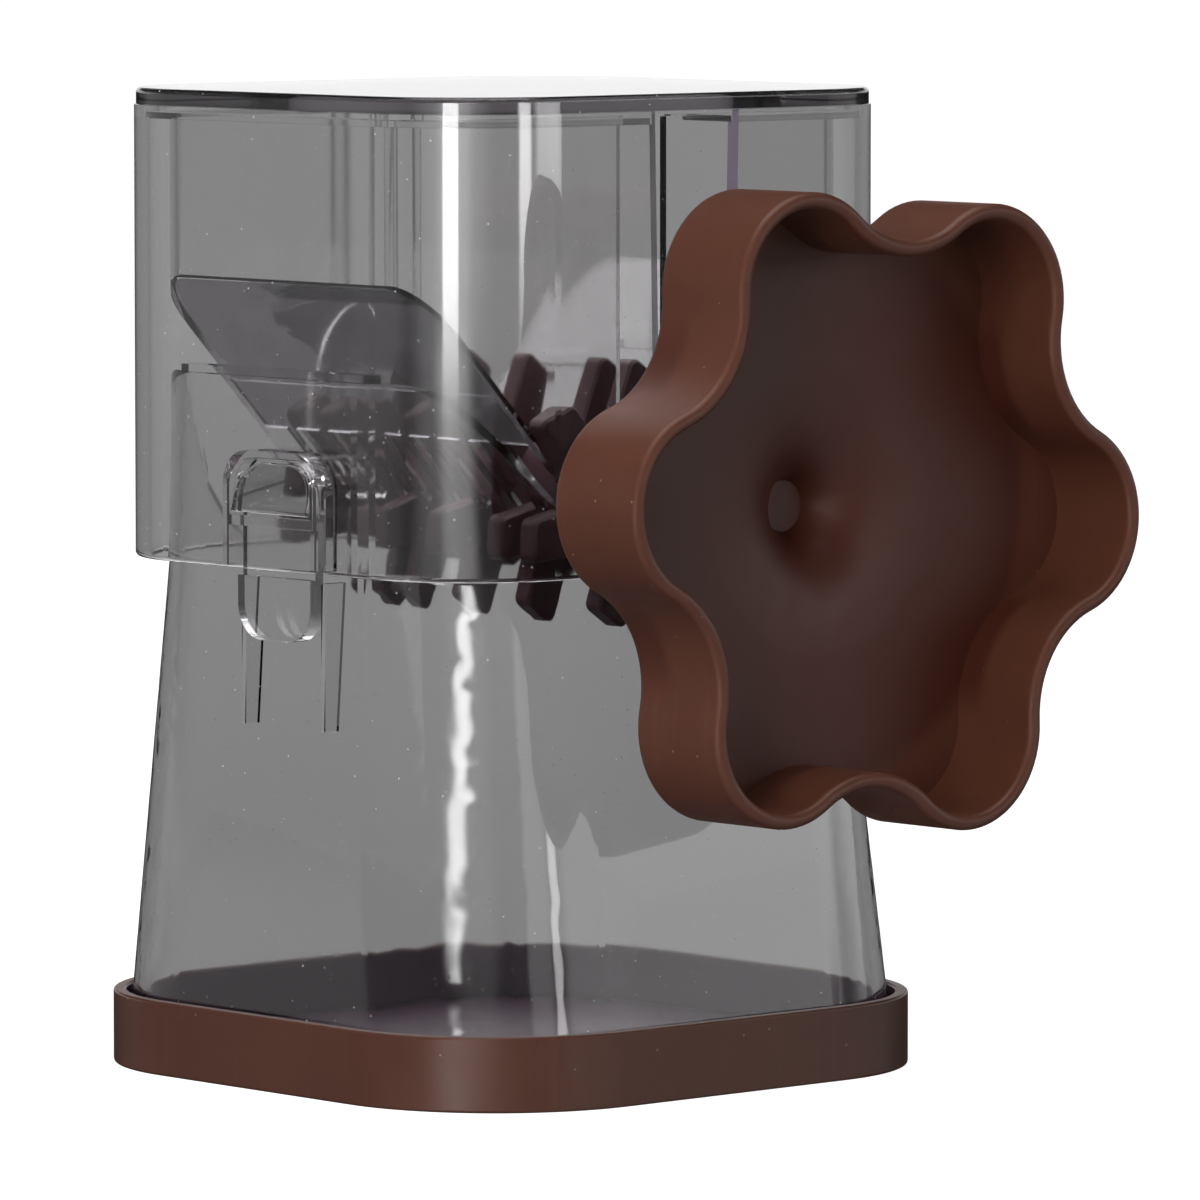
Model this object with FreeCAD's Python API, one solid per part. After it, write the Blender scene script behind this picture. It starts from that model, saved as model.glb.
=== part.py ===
import FreeCAD, Part
import math
import os

os.makedirs("parts", exist_ok=True)

# Frame: origin at the centre of the underside, +Z up, +X along the crank to the knob.
# The -Y side carries the latch that faces the viewer. All sizes are in millimetres.

# Overall heights
total_height = 127.0
axis_height = 75.4
rim_below_axis = 9.2

# Base tray and pad
tray_half = 44.0
tray_corner = 25.0
tray_height = 9.6
tray_wall = 1.7
tray_floor = 2.4
tray_foot_round = 0.4
tray_lip_round = 0.35
pad_inset = 6.0
pad_thickness = 1.2
pad_gap = 0.1

# Container
container_wall = 1.9
container_foot_gap = 0.35
container_corner_ease = 0.35
container_above_axis = 15.3
container_rim_corner = 19.8
container_neck_lean = 0.5
skirt_gap = 0.4
# Half width of the wall's window against height above the crank axis
window_edge = [
    (12.0, -8.2),
    (14.6, -7.5),
    (18.4, -3.6),
    (26.9, 7.0),
    (30.6, 11.7),
    (32.6, 13.9),
    (35.0, 15.2),
    (38.0, 15.8),
]
guide_rib_gap = 0.3
guide_rib_thickness = 0.8
guide_rib_stand = 1.1
guide_rib_drop = 19.7
guide_rib_headroom = 0.9

# Hopper
hopper_back_inset = 5.3
hopper_front_inset = 8.1
hopper_side_inset = 3.8
hopper_corner = 17.2
hopper_wall = 2.0
hopper_foot_round = 0.6
rebate_depth = 0.8
seat_ledge_depth = 2.4
seat_ledge_height = 1.1
seat_ledge_half_length = 18.0
slot_top_half = 7.2

# Lid
lid_thickness = 2.2
lid_inset = 0.25
lid_edge_round = 0.7
lid_plug_depth = 0.7
lid_plug_wall = 1.8
lid_plug_gap = 0.3

# Chute and combs
chute_back_gap = 0.3
chute_front_gap = 1.7
chute_side_gap = 0.8
chute_wall = 1.2
chute_corner = 6.0
chute_bend_rise = 29.0
slope_undercut = 1.27
chute_flange_thickness = 0.8
chute_flange_gap = 0.25
flange_under_plug = 0.15
panel_thickness = 1.1
panel_length = 20.5
comb_side_gap = 0.1
sweep_gap = 1.0
coarse_finger_width = 1.9
fine_finger_width = 2.5
end_boss_radius = 8.0
slot_rail_width = 1.9
slot_rail_depth = 0.9

# Toothed rotor
ring_count = 8
ring_pitch = 6.35
tooth_thickness = 3.1
core_radius = 7.3
ring_teeth = 3
tooth_lead_root = -4.0
tooth_tip_offset = 0.6
tooth_shoulder_offset = 5.3
tooth_trail_root = 2.6
tooth_root_height = 6.5
tooth_tip_height = 17.8
tooth_shoulder_height = 14.6
tooth_tip_round = 1.2
tooth_side_bevel = 0.35
drive_flats = 8.0
drive_gap = 0.05

# Shaft, bushes and washer
front_journal_radius = 4.0
rear_journal_radius = 2.6
running_gap = 0.05
front_bush_radius = 6.2
front_flange_radius = 7.6
rear_bush_radius = 3.9
rear_flange_radius = 5.6
bush_flange = 1.2
bush_seat_gap = 0.1
slot_gap = 0.05
shaft_slot_gap = 0.4
washer_thickness = 0.8
washer_gap = 0.1
rear_overhang = 0.6

# Knob
knob_gap = 21.2
knob_depth = 15.3
lobe_count = 6
lobe_centre_radius = 31.2
lobe_radius = 12.4
notch_radius = 13.3
knob_phase_degrees = -4.2
knob_wall = 2.0
knob_floor = 1.9
knob_lip_round = 0.95
knob_back_round = 1.2
dimple_depth = 7.2
dimple_radius = 3.3
dimple_curve = [
    (0.0, 3.3),
    (1.2, 3.9),
    (3.6, 5.8),
    (5.6, 9.0),
    (6.8, 13.5),
    (7.2, 18.5),
]
boss_radius = 7.0
boss_flare_length = 7.5
boss_flare_radius = 12.5
socket_flats = 6.6
socket_length = 8.4
web_thickness = 1.6
plug_thickness = 1.2
screw_radius = 1.4
screw_head_radius = 2.7
screw_head_height = 1.6
screw_drive_flats = 2.0
screw_drive_depth = 0.9
screw_length = 12.0
screw_gap = 0.1

# Latches
latch_centre = 3.3
arch_width = 18.4
arch_foot_rise = 0.7
arch_height = 14.85
arch_ledge_rise = 5.9
arch_corner = 4.6
arch_depth = 3.4
arch_skin = 1.0
tongue_width = 14.2
tongue_thickness = 1.3
tongue_drop = 8.6
tongue_step = 0.9
tongue_step_gap = 0.5
tongue_wall_gap = 0.45
tongue_side_gap = 0.9
tongue_corner = 4.6
pivot_rise = 12.0
pivot_radius = 0.6
pivot_reach = 1.4
thumb_width = 15.0
thumb_rise = 7.6
thumb_height = 6.4
thumb_depth = 2.0
thumb_top_depth = 0.5
thumb_corner = 4.8
thumb_edge_round = 0.4
thumb_gap = 0.4

# Positions that follow from the sizes above
rim_height = axis_height - rim_below_axis
container_top = axis_height + container_above_axis
hopper_top = total_height - lid_thickness
hopper_back = hopper_back_inset - tray_half
hopper_front = tray_half - hopper_front_inset
hopper_side = tray_half - hopper_side_inset
hopper_middle = (hopper_back + hopper_front) / 2
tray_inner_half = tray_half - tray_wall
tray_inner_corner = tray_corner - tray_wall
flange_top = hopper_top - lid_plug_depth - flange_under_plug
flange_bottom = flange_top - chute_flange_thickness
ring_span = (ring_count - 1) * ring_pitch
first_ring = hopper_middle - ring_span / 2
rotor_back = first_ring - tooth_thickness / 2
rotor_front = first_ring + ring_span + tooth_thickness / 2
chute_back = rotor_back - chute_back_gap - chute_wall
chute_front = rotor_front + chute_front_gap + chute_wall
chute_side = hopper_side - hopper_wall - chute_side_gap
chute_bend_height = axis_height + chute_bend_rise
bend_distance = math.hypot(chute_side, chute_bend_rise)
slope_miss = core_radius + sweep_gap - slope_undercut
slope = math.atan2(chute_bend_rise, chute_side) + math.asin(slope_miss / bend_distance)
tip_sweep = math.hypot(tooth_tip_height, tooth_tip_offset)
front_bush_back = hopper_front - hopper_wall - bush_seat_gap - bush_flange
front_bush_face = hopper_front + bush_seat_gap + bush_flange
rear_bush_face = chute_back - bush_seat_gap - bush_flange
boss_back = front_bush_face + washer_gap + washer_thickness
knob_back = hopper_front + knob_gap
knob_rim = knob_back + knob_depth
knob_floor_face = knob_back + knob_floor
dimple_floor = knob_floor_face - dimple_depth
screw_seat = dimple_floor - plug_thickness - screw_head_height
shaft_end = screw_seat - web_thickness
socket_back = shaft_end - socket_length
tongue_back = hopper_side + tongue_wall_gap
tongue_face = tongue_back + tongue_thickness
pivot_side = tongue_back + tongue_thickness / 2
arch_cavity_half = tongue_width / 2 + tongue_side_gap
arch_bottom = rim_height + arch_foot_rise
arch_top = arch_bottom + arch_height
ledge_height = rim_height + arch_ledge_rise
tongue_bottom = rim_height - tongue_drop
pivot_height = rim_height + pivot_rise
thumb_bottom = rim_height + thumb_rise
thumb_top = thumb_bottom + thumb_height
match_tolerance = 0.01


def vec(x, y, z):
    return FreeCAD.Vector(x, y, z)


def rounded_outline(low_u, high_u, low_v, high_v, corner, place):
    # Closed outline with four equal corner arcs; place turns flat (u, v) into a point.
    centres = [
        (high_u - corner, low_v + corner),
        (high_u - corner, high_v - corner),
        (low_u + corner, high_v - corner),
        (low_u + corner, low_v + corner),
    ]
    arcs = []
    for quarter, (centre_u, centre_v) in enumerate(centres):
        points = []
        for step in (-2, -1, 0):
            angle = math.pi / 2 * quarter + math.pi / 4 * step
            u = centre_u + corner * math.cos(angle)
            v = centre_v + corner * math.sin(angle)
            points.append(place(u, v))
        arcs.append(points)
    edges = []
    for index, points in enumerate(arcs):
        following = arcs[(index + 1) % len(arcs)][0]
        edges.append(Part.Arc(*points).toShape())
        edges.append(Part.makeLine(points[-1], following))
    return Part.Wire(edges)


def plan_outline(back, front, side, corner, height):
    return rounded_outline(back, front, -side, side, corner, lambda u, v: vec(u, v, height))


def plan_block(back, front, side, corner, low, high):
    outline = plan_outline(back, front, side, corner, low)
    return Part.Face(outline).extrude(vec(0, 0, high - low))


def front_block(half_width, low, high, corner, near_side, far_side):
    # Rounded plate standing on the -Y side, centred on the latch.
    left = latch_centre - half_width
    right = latch_centre + half_width
    outline = rounded_outline(left, right, low, high, corner, lambda u, v: vec(u, -near_side, v))
    return Part.Face(outline).extrude(vec(0, near_side - far_side, 0))


def arched_block(half_width, low, high, corner, near_side, far_side):
    # As front_block, with only the upper corners rounded.
    block = front_block(half_width, low - corner, high, corner, near_side, far_side)
    left = latch_centre - half_width
    kept = Part.makeBox(half_width * 2, far_side - near_side, high - low, vec(left, -far_side, low))
    return block.common(kept)


def cross_prism(points, start, end):
    # Straight-sided outline in the YZ plane, drawn out along X.
    corners = [vec(start, y, z) for y, z in points]
    outline = Part.makePolygon(corners + corners[:1])
    return Part.Face(outline).extrude(vec(end - start, 0, 0))


def axle(start, end, radius):
    return Part.makeCylinder(radius, end - start, vec(start, 0, axis_height), vec(1, 0, 0))


def ring(start, end, outer_radius, inner_radius):
    return axle(start, end, outer_radius).cut(axle(start, end, inner_radius))


def hexagon(start, end, flats):
    reach = flats / math.sqrt(3)
    points = []
    for index in range(6):
        angle = math.pi / 3 * index
        points.append((reach * math.cos(angle), axis_height + reach * math.sin(angle)))
    return cross_prism(points, start, end)


def top_slot(start, end, low_half, high_half):
    # Slot with a round bottom on the crank axis, open at the top of the hopper.
    points = [
        (-low_half, axis_height),
        (low_half, axis_height),
        (high_half, hopper_top),
        (-high_half, hopper_top),
    ]
    return cross_prism(points, start, end).fuse(axle(start, end, low_half))


def opposite_side(shape):
    return shape.mirror(vec(0, 0, 0), vec(0, 1, 0))


def rounded_edges(shape, radius, wanted):
    edges = [edge for edge in shape.Edges if wanted(edge)]
    return shape.makeFillet(radius, edges)


def level_edge(edge, height):
    box = edge.BoundBox
    return abs(box.ZMin - height) < match_tolerance and abs(box.ZMax - height) < match_tolerance


def make_base_tray():
    tray = plan_block(-tray_half, tray_half, tray_half, tray_corner, 0, tray_height)
    tray = rounded_edges(tray, tray_foot_round, lambda edge: level_edge(edge, 0))
    hollow = plan_block(
        -tray_inner_half, tray_inner_half, tray_inner_half, tray_inner_corner, tray_floor, tray_height
    )
    tray = tray.cut(hollow)
    tray = rounded_edges(tray, tray_lip_round, lambda edge: level_edge(edge, tray_height))
    half = tray_half - pad_inset + pad_gap
    corner = tray_corner - pad_inset + pad_gap
    return tray.cut(plan_block(-half, half, half, corner, 0, pad_thickness))


def make_nonslip_pad():
    half = tray_half - pad_inset
    return plan_block(-half, half, half, tray_corner - pad_inset, 0, pad_thickness)


def container_outline(height, inset):
    # The walls lean in a little with height, more at the crank side and less inside the hopper.
    foot_half = tray_inner_half - container_foot_gap
    foot_corner = tray_inner_corner - container_foot_gap - container_corner_ease
    skirt_inset = hopper_wall + skirt_gap
    share = (height - tray_floor) / (rim_height - tray_floor)
    if share > 1:
        share = 1 + (share - 1) * container_neck_lean
    back = -foot_half + share * (hopper_back + skirt_inset + foot_half)
    front = foot_half + share * (hopper_front - skirt_inset - foot_half)
    side = foot_half + share * (hopper_side - skirt_inset - foot_half)
    corner = foot_corner + share * (container_rim_corner - foot_corner)
    return plan_outline(back + inset, front - inset, side - inset, corner - inset, height)


def make_container():
    heights = (tray_floor, rim_height, container_top)
    full = Part.makeLoft([container_outline(height, 0) for height in heights], True, True)
    inside = Part.makeLoft([container_outline(height, container_wall) for height in heights], True, True)
    walls = full.cut(inside)
    window = Part.BSplineCurve()
    window.interpolate([vec(hopper_back, y, axis_height + z) for y, z in window_edge])
    right_edge = window.toShape()
    left_edge = opposite_side(right_edge)
    low_end = right_edge.Vertexes[0].Point
    high_end = right_edge.Vertexes[-1].Point
    sill = Part.makeLine(vec(hopper_back, -low_end.y, low_end.z), low_end)
    head = Part.makeLine(vec(hopper_back, -high_end.y, high_end.z), high_end)
    outline = Part.Wire(Part.__sortEdges__([sill, right_edge, head, left_edge]))
    walls = walls.cut(Part.Face(outline).extrude(vec(hopper_front - hopper_back, 0, 0)))
    rib_top = rim_height - guide_rib_headroom
    rib_bottom = rim_height - guide_rib_drop
    rib_reach = hopper_side + guide_rib_stand
    rib_offset = tongue_width / 2 + guide_rib_gap + guide_rib_thickness / 2
    for direction in (-1, 1):
        left = latch_centre + direction * rib_offset - guide_rib_thickness / 2
        bar = Part.makeBox(
            guide_rib_thickness,
            rib_reach * 2,
            rib_top - rib_bottom,
            vec(left, -rib_reach, rib_bottom),
        )
        walls = walls.fuse(bar.cut(full))
    return walls.removeSplitter()


def latch_arch():
    return arched_block(
        arch_width / 2, arch_bottom, arch_top, arch_corner, hopper_side, hopper_side + arch_depth
    )


def latch_cavity():
    depth = arch_depth - arch_skin
    pocket = arched_block(
        arch_cavity_half,
        rim_height,
        arch_top - arch_skin,
        arch_corner - arch_skin,
        hopper_side,
        hopper_side + depth,
    )
    left = latch_centre - arch_cavity_half
    mouth = Part.makeBox(
        arch_cavity_half * 2,
        arch_depth,
        ledge_height - rim_height,
        vec(left, -hopper_side - arch_depth, rim_height),
    )
    opening = arched_block(
        thumb_width / 2 + thumb_gap,
        thumb_bottom - thumb_gap,
        thumb_top + thumb_gap,
        arch_corner - arch_skin,
        hopper_side + depth,
        hopper_side + arch_depth,
    )
    reach = tongue_width / 2 + pivot_reach + bush_seat_gap
    bore = Part.makeCylinder(
        pivot_radius + running_gap,
        reach * 2,
        vec(latch_centre - reach, -pivot_side, pivot_height),
        vec(1, 0, 0),
    )
    return pocket.fuse([mouth, opening, bore])


def make_hopper_shell():
    shell = plan_block(hopper_back, hopper_front, hopper_side, hopper_corner, rim_height, hopper_top)
    shell = rounded_edges(shell, hopper_foot_round, lambda edge: level_edge(edge, rim_height))
    back = hopper_back + hopper_wall
    front = hopper_front - hopper_wall
    side = hopper_side - hopper_wall
    corner = hopper_corner - hopper_wall
    shell = shell.cut(plan_block(back, front, side, corner, rim_height, hopper_top))
    rebate = plan_block(
        back - rebate_depth,
        front + rebate_depth,
        side + rebate_depth,
        corner + rebate_depth,
        flange_bottom,
        hopper_top,
    )
    shell = shell.cut(rebate)
    slot = top_slot(chute_front, hopper_front, front_bush_radius + slot_gap, slot_top_half)
    shell = shell.cut(slot)
    ledge = Part.makeBox(
        seat_ledge_half_length * 2,
        seat_ledge_depth,
        seat_ledge_height,
        vec(hopper_middle - seat_ledge_half_length, -side, container_top),
    )
    front_side = latch_arch().fuse(ledge)
    shell = shell.fuse([front_side, opposite_side(front_side)])
    cavity = latch_cavity()
    shell = shell.cut(cavity).cut(opposite_side(cavity))
    return shell.removeSplitter()


def make_hopper_lid():
    plate = plan_block(
        hopper_back + lid_inset,
        hopper_front - lid_inset,
        hopper_side - lid_inset,
        hopper_corner - lid_inset,
        hopper_top,
        total_height,
    )
    plate = rounded_edges(plate, lid_edge_round, lambda edge: level_edge(edge, total_height))
    inset = hopper_wall - rebate_depth + lid_plug_gap
    low = hopper_top - lid_plug_depth
    rings = []
    for depth in (inset, inset + lid_plug_wall):
        rings.append(
            plan_block(
                hopper_back + depth,
                hopper_front - depth,
                hopper_side - depth,
                hopper_corner - depth,
                low,
                hopper_top,
            )
        )
    return plate.fuse(rings[0].cut(rings[1])).removeSplitter()


def slope_point(distance_along, depth):
    # Point on the sloping guide at the -Y side, measured down from its upper bend.
    y = -chute_side + distance_along * math.cos(slope) - depth * math.sin(slope)
    z = chute_bend_height - distance_along * math.sin(slope) - depth * math.cos(slope)
    return y, z


def slope_reach(clear_radius):
    # Distance down the slope at which it comes this near to the crank axis.
    along = chute_side * math.cos(slope) + chute_bend_rise * math.sin(slope)
    aside = bend_distance ** 2 - clear_radius ** 2
    return along - math.sqrt(along ** 2 - aside)


def slope_plate(near, far, start, end):
    points = [
        slope_point(near, 0),
        slope_point(far, 0),
        slope_point(far, panel_thickness),
        slope_point(near, panel_thickness),
    ]
    return cross_prism(points, start, end)


def make_chute():
    envelope = plan_block(chute_back, chute_front, chute_side, chute_corner, 0, flange_top)
    hollow = plan_block(
        chute_back + chute_wall,
        chute_front - chute_wall,
        chute_side - chute_wall,
        chute_corner - chute_wall,
        0,
        flange_top,
    )
    bend_foot = chute_bend_height - panel_thickness / math.cos(slope)
    lower_y, lower_z = slope_point(slope_reach(core_radius + sweep_gap), panel_thickness)
    profile = [
        (-chute_side, flange_top),
        (-chute_side, bend_foot),
        (lower_y, lower_z),
        (-lower_y, lower_z),
        (chute_side, bend_foot),
        (chute_side, flange_top),
    ]
    body = envelope.cut(hollow).common(cross_prism(profile, chute_back, chute_front))
    for start in (chute_back, chute_front - chute_wall):
        body = body.fuse(axle(start, start + chute_wall, end_boss_radius))
    panel = slope_plate(-panel_thickness, panel_length, chute_back, chute_front).common(envelope)
    body = body.fuse([panel, opposite_side(panel)])
    rim_inset = hopper_wall - rebate_depth + chute_flange_gap
    flange = plan_block(
        hopper_back + rim_inset,
        hopper_front - rim_inset,
        hopper_side - rim_inset,
        hopper_corner - rim_inset,
        flange_bottom,
        flange_top,
    )
    body = body.fuse(flange.cut(hollow))
    shaft_half = front_journal_radius + shaft_slot_gap
    bush_half = rear_bush_radius + slot_gap
    body = body.cut(top_slot(chute_front - chute_wall, chute_front, shaft_half, shaft_half))
    body = body.cut(top_slot(chute_back, chute_back + chute_wall, bush_half, bush_half))
    rail_foot = axis_height + rear_flange_radius + bush_seat_gap
    rail = Part.makeBox(
        slot_rail_depth,
        slot_rail_width,
        flange_bottom - rail_foot,
        vec(chute_back - slot_rail_depth, bush_half, rail_foot),
    )
    body = body.fuse([rail, opposite_side(rail)])
    for start, end in ((chute_front, hopper_front), (hopper_back, chute_back)):
        notch = Part.makeBox(
            end - start, slot_top_half * 2, hopper_top - flange_bottom, vec(start, -slot_top_half, flange_bottom)
        )
        body = body.cut(notch)
    return body.removeSplitter()


def make_comb(finger_width):
    inner_back = chute_back + chute_wall + comb_side_gap
    inner_front = chute_front - chute_wall - comb_side_gap
    strip_end = slope_reach(tip_sweep + sweep_gap)
    finger_end = slope_reach(core_radius + sweep_gap)
    comb = slope_plate(panel_length, strip_end, inner_back, inner_front)
    for index in range(ring_count - 1):
        middle = first_ring + ring_pitch * (index + 1 / 2)
        start = middle - finger_width / 2
        comb = comb.fuse(slope_plate(panel_length, finger_end, start, start + finger_width))
    return comb.removeSplitter()


def make_rotor_shaft():
    shaft = hexagon(rotor_back, rotor_front, drive_flats)
    shaft = shaft.fuse(axle(rotor_front, socket_back, front_journal_radius))
    shaft = shaft.fuse(hexagon(socket_back, shaft_end, socket_flats))
    shaft = shaft.fuse(axle(rear_bush_face - rear_overhang, rotor_back, rear_journal_radius))
    pilot = axle(screw_seat - screw_length, shaft_end, screw_radius)
    return shaft.cut(pilot).removeSplitter()


def tooth_blank(start):
    points = [
        (tooth_lead_root, axis_height + tooth_root_height),
        (tooth_tip_offset, axis_height + tooth_tip_height),
        (tooth_shoulder_offset, axis_height + tooth_shoulder_height),
        (tooth_trail_root, axis_height + tooth_root_height),
    ]
    blank = cross_prism(points, start, start + tooth_thickness)
    outer_height = axis_height + (tooth_root_height + tooth_shoulder_height) / 2

    def tip_edge(edge):
        box = edge.BoundBox
        return box.XLength > tooth_thickness / 2 and box.ZMin > outer_height

    def side_edge(edge):
        return edge.BoundBox.XLength < match_tolerance

    blank = rounded_edges(blank, tooth_tip_round, tip_edge)
    return blank.makeChamfer(tooth_side_bevel, [edge for edge in blank.Edges if side_edge(edge)])


def make_tooth_disc(index):
    # The end discs carry twice the teeth; the others alternate half a step.
    start = rotor_back + index * ring_pitch
    is_end = index in (0, ring_count - 1)
    length = tooth_thickness if index == ring_count - 1 else ring_pitch
    disc = axle(start, start + length, core_radius)
    teeth = ring_teeth * 2 if is_end else ring_teeth
    phase = 180 * (index % 2)
    blank = tooth_blank(start)
    for tooth in range(teeth):
        turned = blank.copy()
        turned.rotate(vec(start, 0, axis_height), vec(1, 0, 0), phase + 360 * tooth / teeth)
        disc = disc.fuse(turned)
    bore = hexagon(start, start + length, drive_flats + drive_gap * 2)
    return disc.cut(bore).removeSplitter()


def make_front_bush():
    body = axle(front_bush_back, front_bush_face, front_bush_radius)
    for start in (front_bush_back, front_bush_face - bush_flange):
        body = body.fuse(axle(start, start + bush_flange, front_flange_radius))
    bore = axle(front_bush_back, front_bush_face, front_journal_radius + running_gap)
    return body.cut(bore).removeSplitter()


def make_rear_bush():
    inner_face = chute_back + chute_wall
    body = axle(rear_bush_face, inner_face, rear_bush_radius)
    body = body.fuse(axle(rear_bush_face, rear_bush_face + bush_flange, rear_flange_radius))
    return body.cut(axle(rear_bush_face, inner_face, rear_journal_radius + running_gap)).removeSplitter()


def make_thrust_washer():
    return ring(boss_back - washer_thickness, boss_back, boss_radius, front_journal_radius + bush_seat_gap)


def lobed_outline(lobe, notch, position):
    # Six convex lobes joined by tangent hollows, turned to the knob's resting angle.
    half_step = math.pi / lobe_count
    along = lobe_centre_radius * math.cos(half_step)
    across = lobe_centre_radius * math.sin(half_step)
    notch_centre_radius = along + math.sqrt((lobe + notch) ** 2 - across ** 2)
    phase = math.radians(knob_phase_degrees)

    def place(radius, angle, arm, arm_angle):
        y = radius * math.cos(angle) + arm * math.cos(arm_angle)
        z = radius * math.sin(angle) + arm * math.sin(arm_angle)
        return vec(position, y, axis_height + z)

    spread = math.pi - half_step - math.asin(across / (lobe + notch))
    edges = []
    for index in range(lobe_count):
        lobe_angle = phase + 2 * half_step * index
        notch_angle = lobe_angle + half_step
        lobe_points = []
        for share in (-1, 0, 1):
            arm_angle = lobe_angle + share * (math.pi - spread)
            lobe_points.append(place(lobe_centre_radius, lobe_angle, lobe, arm_angle))
        edges.append(Part.Arc(*lobe_points).toShape())
        following = place(lobe_centre_radius, lobe_angle + 2 * half_step, lobe,
                          lobe_angle + 2 * half_step - (math.pi - spread))
        hollow = place(notch_centre_radius, notch_angle, notch, notch_angle + math.pi)
        edges.append(Part.Arc(lobe_points[-1], hollow, following).toShape())
    return Part.Wire(edges)


def turned_solid(points, curve_points):
    # Solid of revolution about the crank axis from (position, radius) pairs.
    corners = [vec(x, 0, axis_height + radius) for x, radius in points]
    edges = [Part.makeLine(a, b) for a, b in zip(corners[:-1], corners[1:])]
    if curve_points:
        curve = Part.BSplineCurve()
        curve.interpolate([vec(x, 0, axis_height + radius) for x, radius in curve_points])
        edges.append(curve.toShape())
    outline = Part.Wire(Part.__sortEdges__(edges))
    return Part.Face(outline).revolve(vec(0, 0, axis_height), vec(1, 0, 0), 360)


def make_knob():
    cup = Part.Face(lobed_outline(lobe_radius, notch_radius, knob_back)).extrude(vec(knob_depth, 0, 0))

    def back_edge(edge):
        return edge.BoundBox.XMax < knob_back + match_tolerance

    def rim_edge(edge):
        return edge.BoundBox.XMin > knob_rim - match_tolerance

    cup = rounded_edges(cup, knob_back_round, back_edge)
    hollow = Part.Face(lobed_outline(lobe_radius - knob_wall, notch_radius + knob_wall, knob_floor_face))
    cup = cup.cut(hollow.extrude(vec(knob_depth, 0, 0)))
    cup = rounded_edges(cup, knob_lip_round, rim_edge)
    flare_end = knob_back + knob_floor / 2
    boss = [
        (boss_back, 0),
        (boss_back, boss_radius),
        (flare_end - boss_flare_length, boss_radius),
        (flare_end, boss_flare_radius),
        (flare_end, 0),
        (boss_back, 0),
    ]
    cup = cup.fuse(turned_solid(boss, []))
    curve = [(dimple_floor + x, radius) for x, radius in dimple_curve]
    mouth_x, mouth_radius = curve[-1]
    dimple = [(mouth_x, mouth_radius), (mouth_x, 0), (dimple_floor, 0), (dimple_floor, dimple_radius)]
    cup = cup.cut(turned_solid(dimple, curve))
    cup = cup.cut(axle(boss_back, socket_back, front_journal_radius + screw_gap))
    cup = cup.cut(hexagon(socket_back, shaft_end, socket_flats + drive_gap * 2))
    cup = cup.cut(axle(shaft_end, screw_seat, screw_radius + screw_gap))
    cup = cup.cut(axle(screw_seat, dimple_floor, dimple_radius))
    return cup.removeSplitter()


def make_knob_screw():
    head = axle(screw_seat, screw_seat + screw_head_height, screw_head_radius)
    drive = hexagon(
        screw_seat + screw_head_height - screw_drive_depth, screw_seat + screw_head_height, screw_drive_flats
    )
    return head.cut(drive).fuse(axle(screw_seat - screw_length, screw_seat, screw_radius)).removeSplitter()


def make_hub_plug():
    return axle(dimple_floor - plug_thickness, dimple_floor, dimple_radius - drive_gap)


def make_thumb_pad():
    # Wedge that stands out most at its foot, with a flat underside to push on.
    block = arched_block(
        thumb_width / 2, thumb_bottom, thumb_top, thumb_corner, tongue_face, tongue_face + thumb_depth
    )
    profile = [
        (-tongue_face, thumb_bottom),
        (-tongue_face - thumb_depth, thumb_bottom),
        (-tongue_face - thumb_top_depth, thumb_top),
        (-tongue_face, thumb_top),
    ]
    left = latch_centre - thumb_width / 2
    wedge = block.common(cross_prism(profile, left, left + thumb_width))

    def outer_edge(edge):
        return edge.BoundBox.YMax < -tongue_face - match_tolerance

    return rounded_edges(wedge, thumb_edge_round, outer_edge)


def make_front_latch():
    tongue_top = arch_top - arch_skin - tongue_side_gap
    tongue = front_block(
        tongue_width / 2, tongue_bottom, tongue_top, tongue_corner, tongue_back, tongue_face
    )
    step_top = rim_height - tongue_step_gap
    step = front_block(
        tongue_width / 2, tongue_bottom, tongue_top, tongue_corner, tongue_face, tongue_face + tongue_step
    )
    above_step = Part.makeBox(
        tongue_width,
        tongue_step,
        tongue_top - step_top,
        vec(latch_centre - tongue_width / 2, -tongue_face - tongue_step, step_top),
    )
    step = step.cut(above_step)
    reach = tongue_width / 2 + pivot_reach
    pivot = Part.makeCylinder(
        pivot_radius, reach * 2, vec(latch_centre - reach, -pivot_side, pivot_height), vec(1, 0, 0)
    )
    return tongue.fuse([step, make_thumb_pad(), pivot]).removeSplitter()


pieces = {
    "base_tray": make_base_tray(),
    "nonslip_pad": make_nonslip_pad(),
    "container": make_container(),
    "hopper_shell": make_hopper_shell(),
    "hopper_lid": make_hopper_lid(),
    "chute": make_chute(),
    "coarse_comb": make_comb(coarse_finger_width),
    "fine_comb": opposite_side(make_comb(fine_finger_width)),
    "rotor_shaft": make_rotor_shaft(),
    "front_bush": make_front_bush(),
    "rear_bush": make_rear_bush(),
    "thrust_washer": make_thrust_washer(),
    "knob": make_knob(),
    "knob_screw": make_knob_screw(),
    "hub_plug": make_hub_plug(),
    "latch_front": make_front_latch(),
    "latch_back": opposite_side(make_front_latch()),
}
for number in range(ring_count):
    pieces[f"tooth_disc_{number + 1}"] = make_tooth_disc(number)

for name, shape in pieces.items():
    shape.exportStep(f"parts/{name}.step")
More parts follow.
